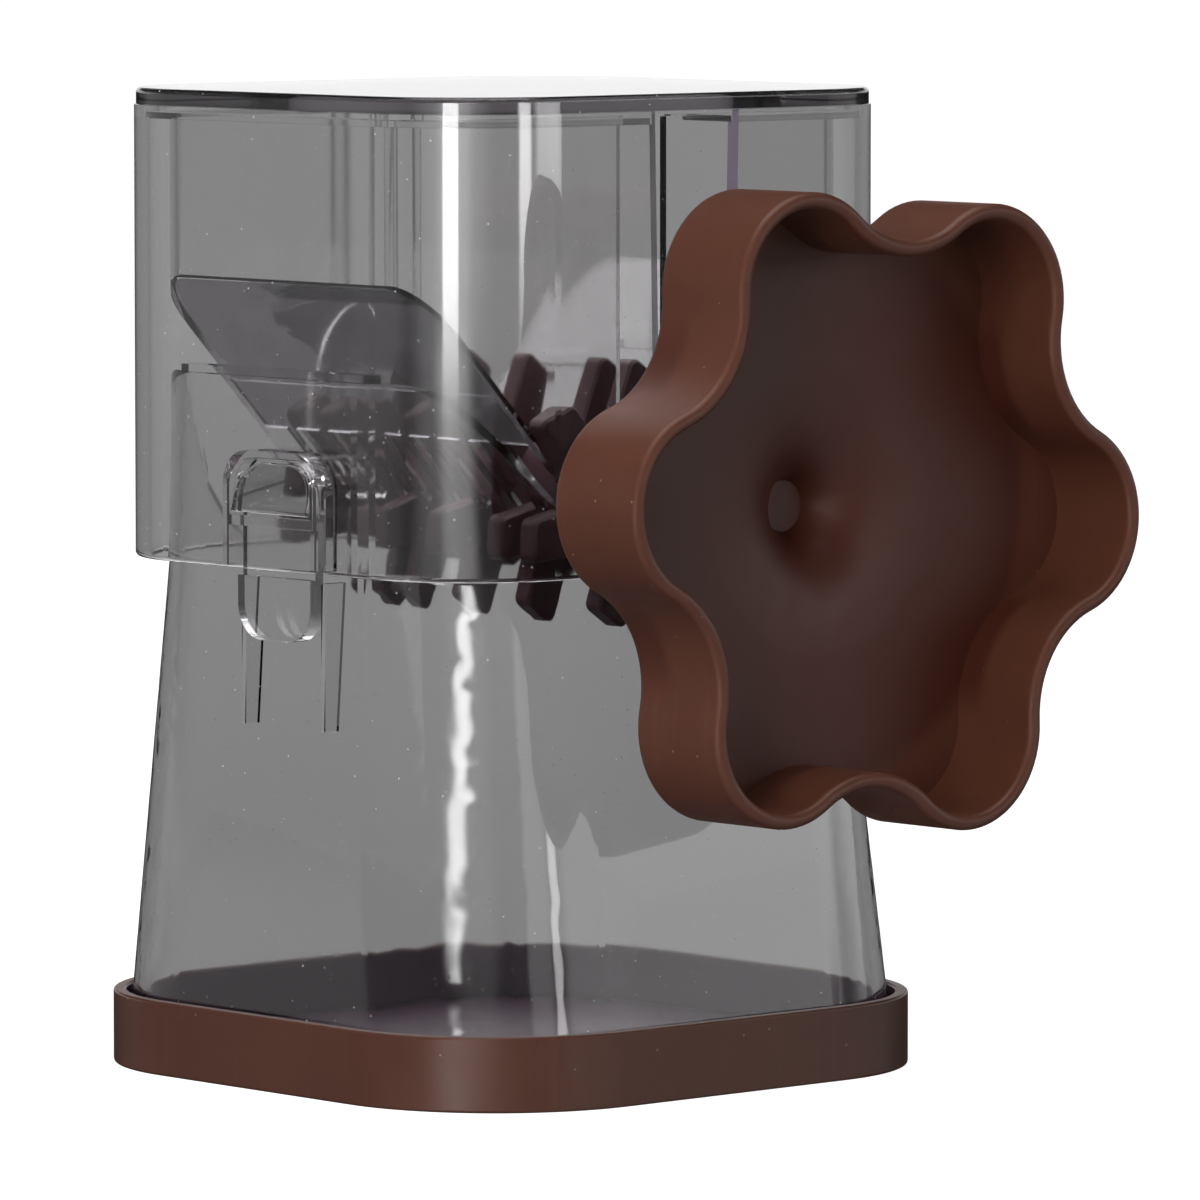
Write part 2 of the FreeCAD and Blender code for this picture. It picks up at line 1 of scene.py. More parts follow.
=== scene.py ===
import bpy
import math
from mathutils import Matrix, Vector


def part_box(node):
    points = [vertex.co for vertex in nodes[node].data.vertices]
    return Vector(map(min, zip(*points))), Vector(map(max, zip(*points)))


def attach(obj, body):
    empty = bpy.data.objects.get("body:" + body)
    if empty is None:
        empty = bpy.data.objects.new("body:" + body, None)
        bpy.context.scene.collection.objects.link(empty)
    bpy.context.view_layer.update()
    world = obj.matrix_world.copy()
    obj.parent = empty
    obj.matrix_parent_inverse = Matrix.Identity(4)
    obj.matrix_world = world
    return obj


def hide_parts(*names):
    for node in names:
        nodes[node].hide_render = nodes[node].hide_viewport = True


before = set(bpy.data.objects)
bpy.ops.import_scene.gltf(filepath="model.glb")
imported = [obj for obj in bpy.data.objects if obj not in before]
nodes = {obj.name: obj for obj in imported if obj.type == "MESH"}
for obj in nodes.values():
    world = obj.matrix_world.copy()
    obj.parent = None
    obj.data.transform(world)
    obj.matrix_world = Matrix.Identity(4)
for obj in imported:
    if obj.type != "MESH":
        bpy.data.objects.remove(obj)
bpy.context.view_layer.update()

knob_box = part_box("knob")

# Camera, as fitted to the photograph; lengths in metres, angles in degrees
view_azimuth = 48.589
view_elevation = 4.596
view_distance = 1.2638
view_centre = Vector((0.0, 0.0, 0.0635))
aim_right = 0.011689
aim_down = 0.003205
lens_mm = 291.585
sensor_mm = 36.0
nearest_seen = 0.05
farthest_seen = 30

# Studio: brightness, sizes in metres, and bounces of light
background_light = 1.0
fill_light = 0.17
floor_half = 6.0
floor_shade = 0.5
floor_glow = 0.93
floor_roughness = 0.9
surround_radius = 9.0
surround_subdivisions = 4
light_bounces = 32
glossy_bounces = 12

# Soft lights, all turned to one point: name, azimuth, elevation, distance, width, height,
# watts, and whether they also shine on what is seen through the plastic
light_target = (0, 0, 0.06)
soft_lights = [
    ("key_left", 30.4, 12, 1.2, 0.28, 1.2, 11, False),
    ("rim_right", 94.6, 10, 1.2, 0.10, 1.4, 0.5, False),
    ("side_softbox", -15, 25, 1.6, 1.2, 1.2, 5, True),
    ("top_softbox", 20, 75, 1.4, 1.2, 1.2, 5, True),
]

# Grey surround: its brightness at the foot, and the heights between which its ground and
# its sky get brighter; the ground is dimmer to the sides than straight behind the object
surround_foot = 0.15
ground_steps = [(-5.9, -1.1, 0.12), (-1.1, -0.3, 0.09)]
sky_steps = [(0.8, 3.8, 0.5), (4.5, 7.0, 2.6)]
surround_gap = (15.0, 60.0)
surround_side_share = 0.45

# Reflected studio air: dim behind the object, around one azimuth, and brighter to the sides
air_gap = (20.0, 80.0)
air_light = (0.02, 0.16)
far_azimuth = 228.6
ceiling_foot = (55.0, 68.0)
ceiling_light = 3.0

# Reflected light panels: azimuth, lean in degrees per degree of height, half width, side
# softness, brightness, heights where the panel fades in, heights where it fades out.
# Angles are in degrees, from the -Y side towards the crank side, and up from level.
panels = [
    # Hopper's rounded corner: bright line, the glow beside and below it, then its second line
    (31.2, 0.0, 5.4, 2.5, 17.0, (-3.8, -2.75), (-1.75, -1.25)),
    (35.0, 0.0, 5.0, 14.0, 2.6, (-3.9, -3.3), (-1.75, -1.25)),
    (11.0, -6.4, 6.0, 14.0, 3.6, (-5.5, -4.6), (-3.5, -3.0)),
    (40.0, 0.0, 5.0, 26.0, 2.4, (-4.0, -2.2), (-1.75, -1.25)),
    (18.0, 0.0, 4.0, 22.0, 1.4, (-5.5, -4.6), (-1.75, -1.25)),
    (95.5, 0.0, 3.4, 4.0, 14.0, (-3.7, -2.0), (-1.75, -1.25)),
    (117.0, 0.0, 7.0, 8.0, 6.5, (-3.2, -2.0), (-1.75, -1.25)),
    # Hopper's flat side, then the knob's dish
    (-48.0, 0.0, 25.0, 20.0, 0.4, (-6.0, -4.8), (-1.75, -1.25)),
    (155.0, 0.0, 12.0, 12.0, 0.35, (-12.0, -8.0), (-1.0, 0.0)),
    # Container's corner: bright leaning line, thin second line, the glow between, a halo
    (-13.2, 6.07, 1.9, 2.0, 16.0, (5.0, 6.5), (11.0, 14.0)),
    (94.0, 0.0, 1.8, 2.0, 8.0, (5.2, 6.8), (11.0, 14.0)),
    (82.0, 0.0, 6.0, 4.0, 1.6, (6.0, 7.5), (11.0, 14.0)),
    (40.0, 0.0, 5.0, 14.0, 0.6, (4.0, 5.0), (55.0, 70.0)),
    # Container's flat side towards the crank
    (131.0, 0.0, 26.0, 12.0, 1.9, (3.0, 4.0), (14.0, 20.0)),
    # Tray's corner, then the glow from the ground, then the lid's top
    (20.0, 0.0, 3.5, 3.0, 8.0, (-22.0, -18.0), (-6.5, -5.5)),
    (60.0, 0.0, 80.0, 20.0, 0.5, (-80.0, -70.0), (-6.5, -5.5)),
    (far_azimuth, 0.0, 60.0, 20.0, 1.0, (0.2, 0.4), (9.0, 15.0)),
]

# Levels between which most of a noise pattern's values lie
middle_levels = (0.3, 0.7)

# Satin brown plastic; scales in repeats per metre, depths in metres, a speck's size as a
# share of its cell
satin_specular = 0.32
cloud_scale = 45
cloud_mix = 0.6
cloud_levels = (0.35, 0.65)
rub_scale = 500
rub_stretch = (1, 1, 0.06)
rub_turn = (0.7, 0, 0)
rub_levels = (0.58, 0.80)
rub_strength = 0.06
rub_colour = (0.20, 0.15, 0.13)
dust_cells = 300
dust_strength = 0.35
dust_colour = (0.42, 0.36, 0.33)
speck_size = 0.06
speck_core = 0.6
polish_scale = 130
polish_mix = 0.65
sink_scale = 60
sink_depth = 2e-5
grain_scale = 2600
grain_depth = 1e-5

# Clear plastic, in the same units
clear_ior = 1.49
clear_tint = (0.985, 0.982, 0.985)
clear_haze = (0.02, 0.08)
guide_haze = (0.03, 0.10)
clear_depth_colour = (0.76, 0.755, 0.76)
clear_depth_density = 150
lid_depth_colour = (0.70, 0.68, 0.70)
lid_depth_density = 50
clear_dust_cells = 420
clear_dust_strength = 0.6
hairline_scale = 900
hairline_stretch = (1, 1, 0.08)
hairline_turn = (0.3, 0.2, 0.1)
hairline_levels = (0.45, 0.75)
hairline_least = 0.4
smear_scale = 60
smear_mix = 0.7
smear_levels = (0.35, 0.7)
smear_least = 0.3
flow_scale = 50
flow_stretch = (1, 1, 0.30)
flow_depth = 1e-6

# Guide walls seen from below: half mirrors, faint at the rear end and strong from the
# middle to the crank; lengths in metres, scales in repeats per metre
mirror_colour = (0.52, 0.49, 0.53)
mirror_rear_share = 0.11
mirror_middle_share = 0.82
mirror_front_share = 0.74
mirror_rear_edge = -0.005
mirror_front_change = (0.008, 0.016)
mirror_foot_rear = 0.091
mirror_foot_front = 0.080
mirror_fade = 0.001
mirror_jag_scale = 330
mirror_jag_width = 0.012
mirror_jag_height = 0.006
# Darker clouds in the mirror colour: a painted reflection of the dark rotor
mirror_reflection_blot_scale = 90
mirror_reflection_blot_dark = 0.8
slope_tilt = (-0.95, -0.3)

# Cut faces of the hopper's bearing slot, frosted, with painted light on the near face and painted shade
# on the far face; lengths in metres
slot_from_x = 0.0335
slot_half = (0.0060, 0.0076)
slot_near_painted_light = (0.55, 0.53, 0.56)
slot_far_painted_shade = (0.20, 0.17, 0.22)
slot_face_tilt = 0.9
slot_frost = 0.85

# Turned steel, in the same units
turning_scale = 400
turning_stretch = (12, 1, 1)
turning_gloss = (0.22, 0.4)
turning_dark = 0.8
turning_depth = 1e-5

# Rubber, in the same units
rubber_grain_scale = 1800
rubber_gloss = (0.75, 0.95)
rubber_dark = 0.7
rubber_depth = 3e-5

# Knob's dish: how far the painted shade on its floor reaches out from the axis and forward, and its soft
# edges
dish_reach = 0.037
dish_reach_edge = 0.004
dish_front = 0.0640
dish_front_edge = 0.002

# Tray floor under the container, where a purple shade is painted
tray_corner_centre = 0.019
tray_inside_corner = 0.0241
tray_inside_height = 0.0095

# Ribbed underside of the non-slip pad
rib_count = 25
rib_height = 0.0005
rib_share = 0.55
rib_sunk = 0.0001
pad_corner = 0.019
pad_corner_steps = 12
weld_distance = 1e-6


def new_material(name):
    material = bpy.data.materials.new(name)
    material.use_nodes = True
    return material, material.node_tree, material.node_tree.nodes["Principled BSDF"]


def add(tree, kind, **settings):
    node = tree.nodes.new(kind)
    for key, value in settings.items():
        setattr(node, key, value)
    return node


def feed(tree, socket, value):
    # Sets a socket to a number or a colour, or links an output to it.
    if isinstance(value, (int, float)):
        socket.default_value = value
    elif isinstance(value, tuple):
        socket.default_value = (*value, 1)
    else:
        tree.links.new(value, socket)


def place(tree, stretch=(1, 1, 1), turn=(0, 0, 0)):
    # Object coordinates, stretched and turned for one pattern.
    where = add(tree, "ShaderNodeTexCoord")
    mapping = add(tree, "ShaderNodeMapping")
    mapping.inputs["Scale"].default_value = stretch
    mapping.inputs["Rotation"].default_value = turn
    tree.links.new(where.outputs["Object"], mapping.inputs["Vector"])
    return mapping.outputs["Vector"]


def parts_of(tree, vector):
    node = add(tree, "ShaderNodeSeparateXYZ")
    tree.links.new(vector, node.inputs["Vector"])
    return node.outputs["X"], node.outputs["Y"], node.outputs["Z"]


def noise(tree, per_metre, detail=3, stretch=(1, 1, 1), turn=(0, 0, 0), roughness=0.5):
    node = add(tree, "ShaderNodeTexNoise")
    node.inputs["Scale"].default_value = per_metre
    node.inputs["Detail"].default_value = detail
    node.inputs["Roughness"].default_value = roughness
    tree.links.new(place(tree, stretch, turn), node.inputs["Vector"])
    return node.outputs["Fac"]


def spread(tree, value, low_in, high_in, low_out, high_out, ease="LINEAR"):
    node = add(tree, "ShaderNodeMapRange", interpolation_type=ease)
    feed(tree, node.inputs["Value"], value)
    limits = {"From Min": low_in, "From Max": high_in, "To Min": low_out, "To Max": high_out}
    for name, number in limits.items():
        feed(tree, node.inputs[name], number)
    return node.outputs["Result"]


def maths(tree, operation, first, second=0.0):
    node = add(tree, "ShaderNodeMath", operation=operation)
    feed(tree, node.inputs[0], first)
    feed(tree, node.inputs[1], second)
    return node.outputs["Value"]


def product(tree, *values):
    total = values[0]
    for value in values[1:]:
        total = maths(tree, "MULTIPLY", total, value)
    return total


def between(tree, value, low, high):
    # 1 where the value lies between the two limits, and 0 elsewhere.
    off_middle = maths(tree, "ABSOLUTE", maths(tree, "SUBTRACT", value, (low + high) / 2))
    return maths(tree, "LESS_THAN", off_middle, (high - low) / 2)


def darker(colour, share):
    return tuple(part * share for part in colour)


def two_colours(tree, share, first, second):
    node = add(tree, "ShaderNodeMix", data_type="RGBA")
    feed(tree, node.inputs["Factor"], share)
    colour_inputs = [socket for socket in node.inputs if socket.type == "RGBA"]
    feed(tree, colour_inputs[0], first)
    feed(tree, colour_inputs[1], second)
    return [socket for socket in node.outputs if socket.type == "RGBA"][0]


def dust(tree, cells_per_metre):
    # Mask of scattered specks.
    cells = add(tree, "ShaderNodeTexVoronoi")
    cells.inputs["Scale"].default_value = cells_per_metre
    tree.links.new(place(tree), cells.inputs["Vector"])
    return spread(tree, cells.outputs["Distance"], speck_size * speck_core, speck_size, 1, 0)


def bump(tree, shader, layers):
    # Stacks height patterns, each (value, depth in metres), into the shader's normal.
    previous = None
    for value, depth in layers:
        node = add(tree, "ShaderNodeBump")
        node.inputs["Strength"].default_value = 1.0
        node.inputs["Distance"].default_value = depth
        tree.links.new(value, node.inputs["Height"])
        if previous is not None:
            tree.links.new(previous, node.inputs["Normal"])
        previous = node.outputs["Normal"]
    tree.links.new(previous, shader.inputs["Normal"])


def moulded_plastic(name, light, dark, gloss):
    # Satin opaque plastic: cloudy colour, sink marks, fine grain, handling rubs and dust.
    material, tree, shader = new_material(name)
    shader.inputs["Specular IOR Level"].default_value = satin_specular
    clouds = noise(tree, cloud_scale, detail=4, roughness=cloud_mix)
    body = two_colours(tree, spread(tree, clouds, *cloud_levels, 0, 1), dark, light)
    rubs = noise(tree, rub_scale, stretch=rub_stretch, turn=rub_turn)
    rubbed = two_colours(tree, spread(tree, rubs, *rub_levels, 0, rub_strength), body, rub_colour)
    specks = maths(tree, "MULTIPLY", dust(tree, dust_cells), dust_strength)
    tree.links.new(two_colours(tree, specks, rubbed, dust_colour), shader.inputs["Base Color"])
    polish = noise(tree, polish_scale, roughness=polish_mix)
    tree.links.new(spread(tree, polish, *middle_levels, *gloss), shader.inputs["Roughness"])
    sinks = noise(tree, sink_scale, detail=2)
    fine = noise(tree, grain_scale, detail=2)
    bump(tree, shader, [(sinks, sink_depth), (fine, grain_depth)])
    return material


def reach_of(tree, first, second):
    squares = maths(tree, "ADD", product(tree, first, first), product(tree, second, second))
    return maths(tree, "SQRT", squares)


def recolour(material, mask, colour):
    # Changes the colour where the mask is 1.
    tree = material.node_tree
    shader = tree.nodes["Principled BSDF"]
    body = shader.inputs["Base Color"].links[0].from_socket
    tree.links.new(two_colours(tree, mask, body, colour), shader.inputs["Base Color"])


def paint_dish_shade(material, colour):
    # Painted shade: the floor of the knob's dish is coloured darker than its walls and rim, standing in
    # for the shade that falls in it.
    tree = material.node_tree
    axis_height = knob_box[0].lerp(knob_box[1], 0.5).z
    x, y, z = parts_of(tree, place(tree))
    reach = reach_of(tree, y, maths(tree, "SUBTRACT", z, axis_height))
    floor = product(
        tree,
        spread(tree, reach, dish_reach - dish_reach_edge, dish_reach, 1, 0, "SMOOTHSTEP"),
        spread(tree, x, dish_front - dish_front_edge, dish_front, 1, 0, "SMOOTHSTEP"),
    )
    recolour(material, floor, colour)


def paint_tray_floor_shade(material, colour):
    # Painted shade: the tray's floor, under the container, is coloured more purple than its outer side,
    # standing in for the dim light seen there through the clear plastic.
    tree = material.node_tree
    x, y, z = parts_of(tree, place(tree))
    past = []
    for side in (x, y):
        beyond = maths(tree, "SUBTRACT", maths(tree, "ABSOLUTE", side), tray_corner_centre)
        past.append(maths(tree, "MAXIMUM", beyond, 0.0))
    inside = product(
        tree,
        maths(tree, "LESS_THAN", reach_of(tree, *past), tray_inside_corner),
        maths(tree, "LESS_THAN", z, tray_inside_height),
    )
    recolour(material, inside, colour)


def clear_plastic(name, haze_range, depth_colour, depth_density):
    # Moulded clear plastic: flow waves, smears, hairline rubs and dust on its faces, and a
    # tint that grows with the depth of plastic the light goes through.
    material, tree, shader = new_material(name)
    shader.inputs["IOR"].default_value = clear_ior
    shader.inputs["Base Color"].default_value = (*clear_tint, 1)
    specks = maths(tree, "MULTIPLY", dust(tree, clear_dust_cells), clear_dust_strength)
    tree.links.new(maths(tree, "SUBTRACT", 1.0, specks), shader.inputs["Transmission Weight"])
    rubs = noise(tree, hairline_scale, stretch=hairline_stretch, turn=hairline_turn)
    smears = noise(tree, smear_scale, detail=4, roughness=smear_mix)
    haze = maths(
        tree, "MULTIPLY",
        spread(tree, rubs, *hairline_levels, hairline_least, 1),
        spread(tree, smears, *smear_levels, smear_least, 1),
    )
    tree.links.new(spread(tree, haze, 0, 1, *haze_range), shader.inputs["Roughness"])
    flow = noise(tree, flow_scale, detail=2, stretch=flow_stretch)
    bump(tree, shader, [(flow, flow_depth)])
    depth = add(tree, "ShaderNodeVolumeAbsorption")
    depth.inputs["Color"].default_value = (*depth_colour, 1)
    depth.inputs["Density"].default_value = depth_density
    tree.links.new(depth.outputs["Volume"], tree.nodes["Material Output"].inputs["Volume"])
    return material


def mirror_slopes(material):
    # From below, the sloping guide walls turn the light inside the plastic like half mirrors. Their
    # mirror colour, darkened in clouds, is a painted reflection of the dark rotor and also tints what
    # shows through the slopes.
    tree = material.node_tree
    shader = tree.nodes["Principled BSDF"]
    face = add(tree, "ShaderNodeNewGeometry")
    tilt = parts_of(tree, face.outputs["True Normal"])[2]
    outside = maths(tree, "SUBTRACT", 1.0, face.outputs["Backfacing"])
    x, _, z = parts_of(tree, place(tree))
    jags = maths(tree, "SUBTRACT", noise(tree, mirror_jag_scale, detail=1), 0.5)
    crank_side = spread(tree, x, *mirror_front_change, 0, 1)
    foot = spread(tree, crank_side, 0, 1, mirror_foot_rear, mirror_foot_front)
    height = maths(tree, "ADD", maths(tree, "SUBTRACT", z, foot), product(tree, jags, mirror_jag_height))
    above_foot = spread(tree, height, -mirror_fade, mirror_fade, 0, 1)
    along = maths(tree, "ADD", x, product(tree, jags, mirror_jag_width))
    rear = spread(
        tree, along, mirror_rear_edge - mirror_fade, mirror_rear_edge,
        mirror_rear_share, mirror_middle_share,
    )
    share = maths(tree, "ADD", rear, product(tree, crank_side, mirror_front_share - mirror_middle_share))
    sloping = between(tree, tilt, *slope_tilt)
    mirror = product(tree, sloping, outside, above_foot, share)
    # Painted reflection: darker clouds in the mirror colour
    clouds = spread(tree, noise(tree, mirror_reflection_blot_scale), *middle_levels, 0, 1)
    shade = two_colours(tree, clouds, darker(mirror_colour, mirror_reflection_blot_dark), mirror_colour)
    tint = tuple(shader.inputs["Base Color"].default_value)[:3]
    tree.links.new(two_colours(tree, sloping, tint, shade), shader.inputs["Base Color"])
    tree.links.new(mirror, shader.inputs["Metallic"])


def frost_slot_and_paint_shade(material):
    # The cut faces of the bearing slot are less clear than the moulded ones; the near face's colour is
    # painted light and the far face's is painted shade.
    tree = material.node_tree
    shader = tree.nodes["Principled BSDF"]
    face = add(tree, "ShaderNodeNewGeometry")
    across = maths(tree, "ABSOLUTE", parts_of(tree, face.outputs["True Normal"])[1])
    x, y, _ = parts_of(tree, place(tree))
    cut_face = product(
        tree,
        maths(tree, "GREATER_THAN", x, slot_from_x),
        between(tree, maths(tree, "ABSOLUTE", y), *slot_half),
        maths(tree, "GREATER_THAN", across, slot_face_tilt),
    )
    # Painted light on the near cut face, painted shade on the far one
    far_side = maths(tree, "GREATER_THAN", y, 0.0)
    shade = two_colours(tree, far_side, slot_near_painted_light, slot_far_painted_shade)
    tint = tuple(shader.inputs["Base Color"].default_value)[:3]
    tree.links.new(two_colours(tree, cut_face, tint, shade), shader.inputs["Base Color"])
    clear = shader.inputs["Transmission Weight"].links[0].from_socket
    kept = maths(tree, "SUBTRACT", 1.0, maths(tree, "MULTIPLY", cut_face, slot_frost))
    tree.links.new(maths(tree, "MULTIPLY", clear, kept), shader.inputs["Transmission Weight"])


def brushed_metal(name, colour):
    material, tree, shader = new_material(name)
    shader.inputs["Metallic"].default_value = 1.0
    turning = noise(tree, turning_scale, stretch=turning_stretch)
    shade = two_colours(tree, turning, darker(colour, turning_dark), colour)
    tree.links.new(shade, shader.inputs["Base Color"])
    tree.links.new(spread(tree, turning, *middle_levels, *turning_gloss), shader.inputs["Roughness"])
    bump(tree, shader, [(turning, turning_depth)])
    return material


def rubber(name, colour):
    material, tree, shader = new_material(name)
    grain = noise(tree, rubber_grain_scale)
    shade = two_colours(tree, grain, darker(colour, rubber_dark), colour)
    tree.links.new(shade, shader.inputs["Base Color"])
    tree.links.new(spread(tree, grain, *middle_levels, *rubber_gloss), shader.inputs["Roughness"])
    bump(tree, shader, [(grain, rubber_depth)])
    return material


brown = moulded_plastic(
    "knob_brown_plastic", light=(0.105, 0.036, 0.021), dark=(0.090, 0.030, 0.017), gloss=(0.40, 0.50)
)
# Painted shade on the floor of the knob's dish
paint_dish_shade(brown, colour=(0.060, 0.016, 0.009))
tray_brown = moulded_plastic(
    "tray_brown_plastic", light=(0.092, 0.034, 0.022), dark=(0.080, 0.029, 0.018), gloss=(0.30, 0.36)
)
# Painted purple shade on the tray floor under the container
paint_tray_floor_shade(tray_brown, colour=(0.076, 0.038, 0.066))
# Painted light: the teeth's colour is lighter and more purple than the brown plastic, standing in for
# the light that reaches them through the clear plastic
rotor_brown = moulded_plastic(
    "tooth_plastic", light=(0.12, 0.066, 0.076), dark=(0.092, 0.050, 0.060), gloss=(0.34, 0.5)
)
bush_brown = moulded_plastic(
    "bush_plastic", light=(0.07, 0.04, 0.032), dark=(0.055, 0.03, 0.025), gloss=(0.35, 0.5)
)
smoke = clear_plastic("smoke_clear_plastic", clear_haze, clear_depth_colour, clear_depth_density)
hopper_smoke = clear_plastic("hopper_clear_plastic", clear_haze, clear_depth_colour, clear_depth_density)
frost_slot_and_paint_shade(hopper_smoke)
lid_smoke = clear_plastic("lid_smoke_plastic", clear_haze, lid_depth_colour, lid_depth_density)
guide = clear_plastic("guide_clear_plastic", guide_haze, clear_depth_colour, clear_depth_density)
mirror_slopes(guide)
steel = brushed_metal("turned_steel", colour=(0.60, 0.59, 0.58))
pad = rubber("ribbed_pad_rubber", colour=(0.05, 0.03, 0.026))

finishes = {
    "base_tray": tray_brown, "knob": brown, "hub_plug": brown, "nonslip_pad": pad,
    "container": smoke, "hopper_shell": hopper_smoke, "hopper_lid": lid_smoke,
    "latch_front": smoke, "latch_back": smoke,
    "chute": guide, "coarse_comb": guide, "fine_comb": guide,
    "rotor_shaft": steel, "knob_screw": steel,
    "front_bush": bush_brown, "rear_bush": bush_brown, "thrust_washer": bush_brown,
}
for name, node in nodes.items():
    finish = rotor_brown if name.startswith("tooth_disc") else finishes[name]
    node.material_slots[0].material = finish


def vector_of(tree, x, y, z):
    node = add(tree, "ShaderNodeCombineXYZ")
    for socket, value in zip(node.inputs, (x, y, z)):
        feed(tree, socket, value)
    return node.outputs["Vector"]


def node_of(tree, kind, inputs, **settings):
    # Adds a node and feeds its named inputs.
    node = add(tree, kind, **settings)
    for name, value in inputs.items():
        feed(tree, node.inputs[name], value)
    return node


def ribbed_pad_tree(finish):
    # A plate with rounded corners, and a row of ribs under it that stop at its outline.
    tree = bpy.data.node_groups.new("ribbed_pad", "GeometryNodeTree")
    tree.is_modifier = True
    for name in ("Half Width", "Corner Radius", "Thickness", "Rib Height", "Rib Width", "Rib Sunk"):
        tree.interface.new_socket(name=name, in_out="INPUT", socket_type="NodeSocketFloat")
    tree.interface.new_socket(name="Rib Count", in_out="INPUT", socket_type="NodeSocketInt")
    tree.interface.new_socket(name="Geometry", in_out="OUTPUT", socket_type="NodeSocketGeometry")
    given = add(tree, "NodeGroupInput").outputs
    half, corner, rib_depth = given["Half Width"], given["Corner Radius"], given["Rib Height"]
    width = product(tree, half, 2.0)
    outline = node_of(tree, "GeometryNodeCurvePrimitiveQuadrilateral", {
        "Width": width, "Height": width,
    })
    rounded = node_of(tree, "GeometryNodeFilletCurve", {
        "Curve": outline.outputs["Curve"], "Count": pad_corner_steps, "Radius": corner,
    }, mode="POLY")
    filled = node_of(tree, "GeometryNodeFillCurve", {
        "Curve": rounded.outputs["Curve"],
    }, mode="NGONS")
    raised = node_of(tree, "GeometryNodeExtrudeMesh", {
        "Mesh": filled.outputs["Mesh"], "Offset": vector_of(tree, 0, 0, 1),
        "Offset Scale": maths(tree, "SUBTRACT", given["Thickness"], rib_depth), "Individual": False,
    }, mode="FACES")
    underside = node_of(tree, "GeometryNodeFlipFaces", {"Mesh": filled.outputs["Mesh"]})
    sides = add(tree, "GeometryNodeJoinGeometry")
    for part in (underside, raised):
        tree.links.new(part.outputs["Mesh"], sides.inputs["Geometry"])
    closed = node_of(tree, "GeometryNodeMergeByDistance", {
        "Geometry": sides.outputs["Geometry"], "Distance": weld_distance,
    })
    plate = node_of(tree, "GeometryNodeTransform", {
        "Geometry": closed.outputs["Geometry"], "Translation": vector_of(tree, 0, 0, rib_depth),
    })
    spacing = maths(tree, "DIVIDE", width, given["Rib Count"])
    first = maths(tree, "SUBTRACT", product(tree, spacing, 0.5), half)
    middle = product(tree, maths(tree, "ADD", rib_depth, given["Rib Sunk"]), 0.5)
    line = node_of(tree, "GeometryNodeMeshLine", {
        "Count": given["Rib Count"], "Start Location": vector_of(tree, 0, first, middle),
        "Offset": vector_of(tree, 0, spacing, 0),
    }, mode="OFFSET")
    y = parts_of(tree, add(tree, "GeometryNodeInputPosition").outputs["Position"])[1]
    half_rib = product(tree, given["Rib Width"], 0.5)
    outer_edge = maths(tree, "ADD", maths(tree, "ABSOLUTE", y), half_rib)
    straight = maths(tree, "SUBTRACT", half, corner)
    past = maths(tree, "MAXIMUM", maths(tree, "SUBTRACT", outer_edge, straight), 0.0)
    across = maths(tree, "SUBTRACT", product(tree, corner, corner), product(tree, past, past))
    half_length = maths(tree, "ADD", straight, maths(tree, "SQRT", across))
    bar = node_of(tree, "GeometryNodeMeshCube", {
        "Size": vector_of(tree, 1, given["Rib Width"], product(tree, middle, 2.0)),
    })
    bars = node_of(tree, "GeometryNodeInstanceOnPoints", {
        "Points": line.outputs["Mesh"], "Instance": bar.outputs["Mesh"],
        "Scale": vector_of(tree, product(tree, half_length, 2.0), 1, 1),
    })
    whole = add(tree, "GeometryNodeJoinGeometry")
    tree.links.new(bars.outputs["Instances"], whole.inputs["Geometry"])
    tree.links.new(plate.outputs["Geometry"], whole.inputs["Geometry"])
    real = node_of(tree, "GeometryNodeRealizeInstances", {
        "Geometry": whole.outputs["Geometry"],
    })
    coated = node_of(tree, "GeometryNodeSetMaterial", {
        "Geometry": real.outputs["Geometry"],
    })
    coated.inputs["Material"].default_value = finish
    tree.links.new(coated.outputs["Geometry"], add(tree, "NodeGroupOutput").inputs["Geometry"])
    return tree


def ribbed_pad(finish):
    low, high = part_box("nonslip_pad")
    half = high.x
    tree = ribbed_pad_tree(finish)
    seed = bpy.data.objects.new("pad_seed", bpy.data.meshes.new("pad_seed"))
    bpy.context.scene.collection.objects.link(seed)
    modifier = seed.modifiers.new("ribs", "NODES")
    modifier.node_group = tree
    sizes = {
        "Half Width": half,
        "Corner Radius": pad_corner,
        "Thickness": high.z - low.z,
        "Rib Height": rib_height,
        "Rib Width": 2 * half / rib_count * rib_share,
        "Rib Sunk": rib_sunk,
        "Rib Count": rib_count,
    }
    for item in tree.interface.items_tree:
        if item.name in sizes:
            modifier[item.identifier] = sizes[item.name]
    evaluated = seed.evaluated_get(bpy.context.evaluated_depsgraph_get())
    mesh = bpy.data.meshes.new_from_object(evaluated)
    mesh.materials.clear()
    mesh.materials.append(finish)
    bpy.data.objects.remove(seed)
    piece = bpy.data.objects.new("ribbed_nonslip_pad", mesh)
    bpy.context.scene.collection.objects.link(piece)
    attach(piece, "tray")
    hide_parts("nonslip_pad")


ribbed_pad(pad)


def stage_mesh(name, points, faces, material):
    mesh = bpy.data.meshes.new(name)
    mesh.from_pydata(points, [], faces)
    mesh.materials.append(material)
    thing = bpy.data.objects.new(name, mesh)
    bpy.context.scene.collection.objects.link(thing)
    return thing


def azimuth_of(tree, x, y):
    turn = maths(tree, "ARCTAN2", x, maths(tree, "MULTIPLY", y, -1.0))
    return maths(tree, "MULTIPLY", turn, math.degrees(1))


def direction(tree, source):
    # Azimuth and elevation, in degrees, of the direction that a socket gives.
    x, y, z = parts_of(tree, source)
    elevation = maths(tree, "MULTIPLY", maths(tree, "ARCSINE", z), math.degrees(1))
    return azimuth_of(tree, x, y), elevation


